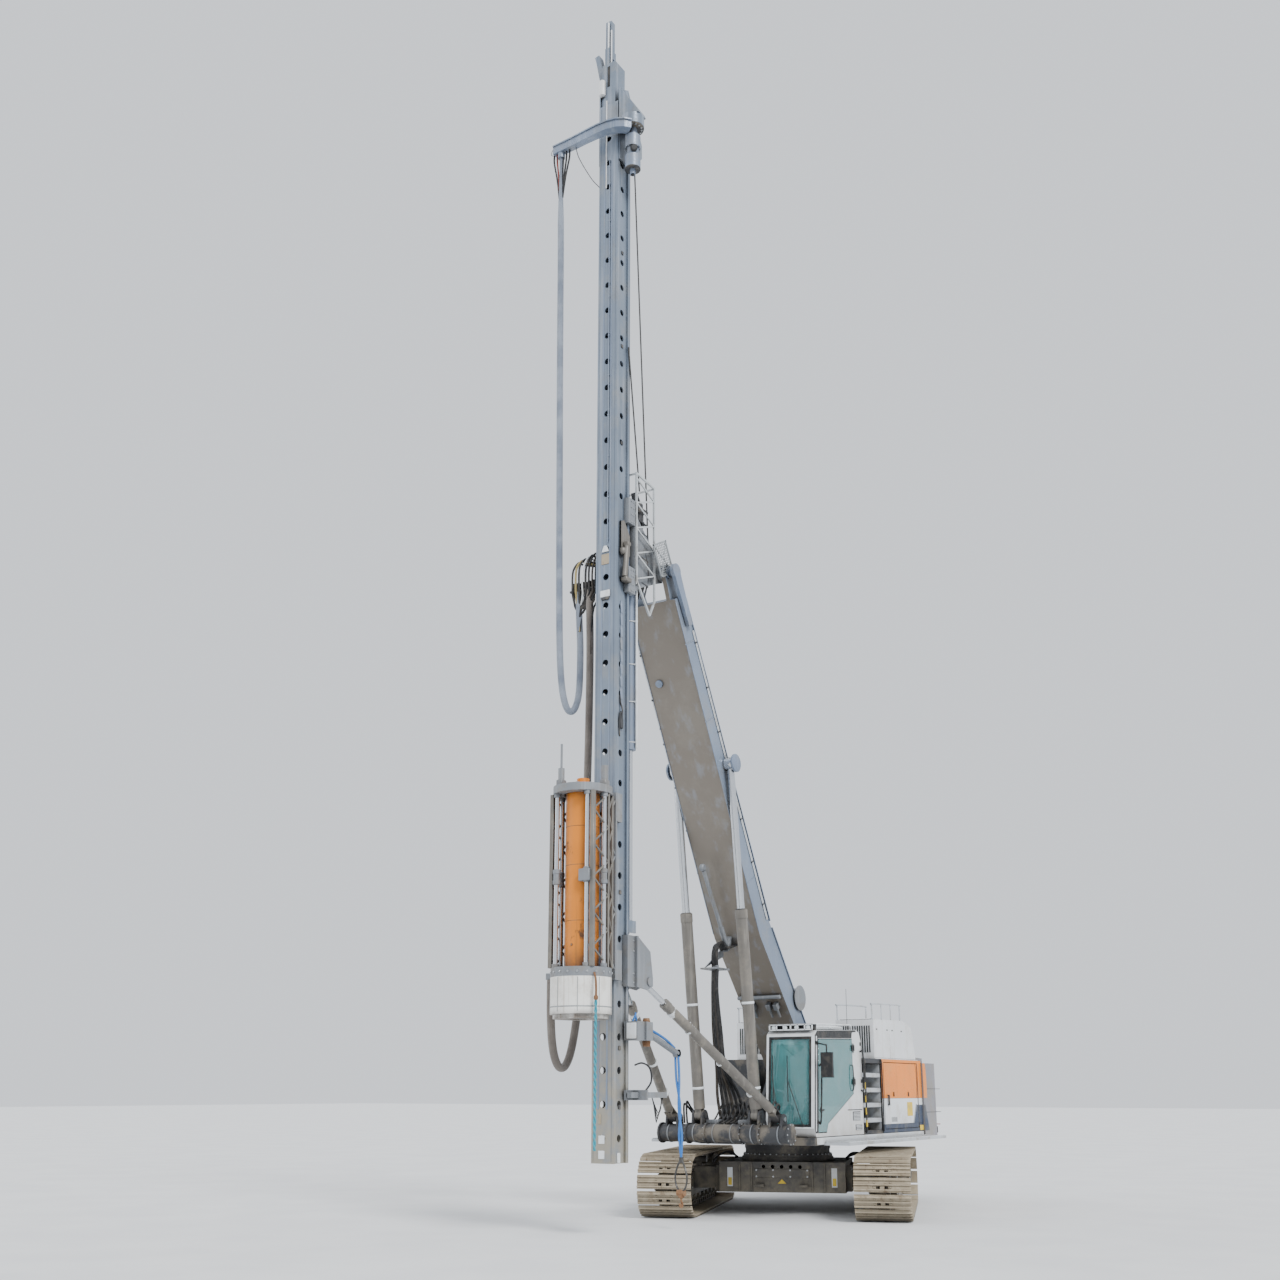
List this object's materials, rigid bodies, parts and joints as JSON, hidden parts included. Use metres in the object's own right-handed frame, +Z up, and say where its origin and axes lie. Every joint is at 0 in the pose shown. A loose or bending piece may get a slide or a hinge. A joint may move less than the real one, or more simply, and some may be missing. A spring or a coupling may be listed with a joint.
{
  "type": "pile driver rig",
  "caption": "Crawler pile driving rig with a luffing boom, a sliding leader, stay cylinders and a drop hammer; cab and doors open, the upper carriage slews.",
  "frame": {"origin": "on the ground under the middle of the machine's box; the slewing axis stands 1.4825 m towards +Y", "axes": "+Z up, -Y towards the hammer in front, +X towards the machine's left side with the cab; the tracks are turned 19.8 degrees against the upper carriage"},
  "size_m": [5.6568, 10.525, 19.83],
  "materials": {
    "carriage_grey": "dirty dark grey paint",
    "steel_blue": "satin blue-grey paint",
    "machine_grey": "satin grey paint",
    "shoe_mud": "muddy worn steel",
    "white_paint": "gloss white paint",
    "orange_paint": "gloss orange-yellow paint",
    "rod_chrome": "polished rod",
    "pane": "tinted glass",
    "hose_rubber": "black rubber",
    "seat_fabric": "dark seat cloth",
    "walk_steel": "zinc grey grating"
  },
  "bodies": {
    "undercarriage": {"carbody": "carriage_grey", "slew_ring": "carriage_grey", "track_frames": "carriage_grey", "track_left": "shoe_mud", "track_right": "shoe_mud"},
    "upper": {"deck": "carriage_grey", "counterweight": "machine_grey", "engine_block": "carriage_grey", "housings": "carriage_grey", "hoods": "white_paint", "walkways": "walk_steel", "winch": "machine_grey", "cab_shell": "white_paint", "cab_panes": "pane", "operator_seat": "seat_fabric", "cab_fittings": "carriage_grey"},
    "door": {"cab_door": "white_paint", "door_pane": "pane"},
    "service_panel_left": {"service_door_left": "orange_paint"},
    "service_panel_right": {"service_door_right": "orange_paint"},
    "boom": {"boom": "steel_blue"},
    "boom_barrels": {"boom_barrels": "machine_grey"},
    "boom_rods": {"boom_rods": "rod_chrome"},
    "head_pin": {"head_pin": "machine_grey"},
    "sledge": {"sledge": "machine_grey", "guide_cage": "white_paint", "lower_guide": "machine_grey", "lift_barrel": "machine_grey"},
    "leader": {"leader": "steel_blue", "leader_head": "steel_blue", "head_sheaves": "machine_grey", "hose_arm": "steel_blue", "hose_bracket": "carriage_grey", "lift_rod": "rod_chrome", "hose_loop": "hose_rubber", "hammer_hose": "hose_rubber"},
    "hammer": {"hammer_frame": "machine_grey", "drive_cap": "white_paint", "ram": "orange_paint"},
    "stay_pins": {"stay_pins": "rod_chrome"},
    "stay_forks": {"stay_forks": "carriage_grey"},
    "stay_barrel_left": {"stay_barrel_left": "machine_grey"},
    "stay_barrel_right": {"stay_barrel_right": "machine_grey"},
    "stay_rod_left": {"stay_rod_left": "rod_chrome"},
    "stay_rod_right": {"stay_rod_right": "rod_chrome"}
  },
  "joints": [
    {"name": "slew", "type": "hinge", "parent": "undercarriage", "child": "upper", "pos_m": [0, 1.4825, 1], "axis": [0, 0, 1], "continuous": true},
    {"name": "boom_luff", "type": "hinge", "parent": "upper", "child": "boom", "pos_m": [0, 1.9295, 2.184], "axis": [-1, 0, 0], "range_deg": [-8, 9]},
    {"name": "boom_barrel_swing", "type": "hinge", "parent": "upper", "child": "boom_barrels", "pos_m": [0, -0.6495, 1.56], "axis": [-1, 0, 0], "range_deg": [-8.05, 8.99]},
    {"name": "boom_rod_stroke", "type": "slide", "parent": "boom_barrels", "child": "boom_rods", "axis": [0, -0.1199, 0.9928], "range_m": [-0.3765, 0.4223]},
    {"name": "head_pin_turn", "type": "hinge", "parent": "boom", "child": "head_pin", "pos_m": [0, -2.9895, 9.984], "axis": [-1, 0, 0], "range_deg": [-3.98, 3.59]},
    {"name": "leader_rake", "type": "hinge", "parent": "head_pin", "child": "sledge", "pos_m": [0, -2.9895, 9.984], "axis": [1, 0, 0], "range_deg": [-8, 4]},
    {"name": "leader_lift", "type": "slide", "parent": "sledge", "child": "leader", "axis": [0, 0, 1], "range_m": [0, 2.4]},
    {"name": "hammer_slide", "type": "slide", "parent": "leader", "child": "hammer", "axis": [0, 0, 1], "range_m": [-1.85, 9.4]},
    {"name": "stay_pin_turn", "type": "hinge", "parent": "upper", "child": "stay_pins", "pos_m": [0, -0.7475, 1.52], "axis": [-1, 0, 0], "range_deg": [-15.82, 17.74]},
    {"name": "stay_fork_turn", "type": "hinge", "parent": "stay_pins", "child": "stay_forks", "pos_m": [0, -0.7475, 1.52], "axis": [-1, 0, 0], "range_deg": [-7.35, 3.93]},
    {"name": "stay_lean_left", "type": "hinge", "parent": "stay_forks", "child": "stay_barrel_left", "pos_m": [0.936, -0.90234, 1.63011], "axis": [0, -0.5795, -0.815], "range_deg": [-3.43, 1.97]},
    {"name": "stay_lean_right", "type": "hinge", "parent": "stay_forks", "child": "stay_barrel_right", "pos_m": [-0.936, -0.90234, 1.63011], "axis": [0, 0.5795, 0.815], "range_deg": [-3.43, 1.97]},
    {"name": "stay_stroke_left", "type": "slide", "parent": "stay_barrel_left", "child": "stay_rod_left", "axis": [-0.2329, -0.7926, 0.5636], "range_m": [-0.4014, 0.7929]},
    {"name": "stay_stroke_right", "type": "slide", "parent": "stay_barrel_right", "child": "stay_rod_right", "axis": [0.2329, -0.7926, 0.5636], "range_m": [-0.4014, 0.7929]},
    {"name": "cab_door_hinge", "type": "hinge", "parent": "upper", "child": "door", "pos_m": [1.395, 1.2525, 1.9], "axis": [0, 0, 1], "range_deg": [0, 120]},
    {"name": "service_hinge_left", "type": "hinge", "parent": "upper", "child": "service_panel_left", "pos_m": [1.359, 4.1665, 1.85], "axis": [0, 0, 1], "range_deg": [0, 100]},
    {"name": "service_hinge_right", "type": "hinge", "parent": "upper", "child": "service_panel_right", "pos_m": [-1.359, 4.1665, 1.85], "axis": [0, 0, -1], "range_deg": [0, 100]}
  ],
  "couplings": [
    {"joint": "boom_barrel_swing", "follows": "boom_luff", "ratio": 0.94367},
    {"joint": "boom_rod_stroke", "follows": "boom_luff", "m_per_rad": 2.6246},
    {"joint": "head_pin_turn", "follows": "boom_luff", "ratio": -0.38622},
    {"joint": "stay_pin_turn", "follows": "boom_luff", "ratio": 1.915},
    {"joint": "stay_fork_turn", "follows": "leader_rake", "ratio": 0.85651},
    {"joint": "stay_lean_left", "follows": "leader_rake", "ratio": 0.36683},
    {"joint": "stay_lean_right", "follows": "leader_rake", "ratio": 0.36683},
    {"joint": "stay_stroke_left", "follows": "leader_rake", "m_per_rad": -5.6068},
    {"joint": "stay_stroke_right", "follows": "leader_rake", "m_per_rad": -5.6068}
  ]
}
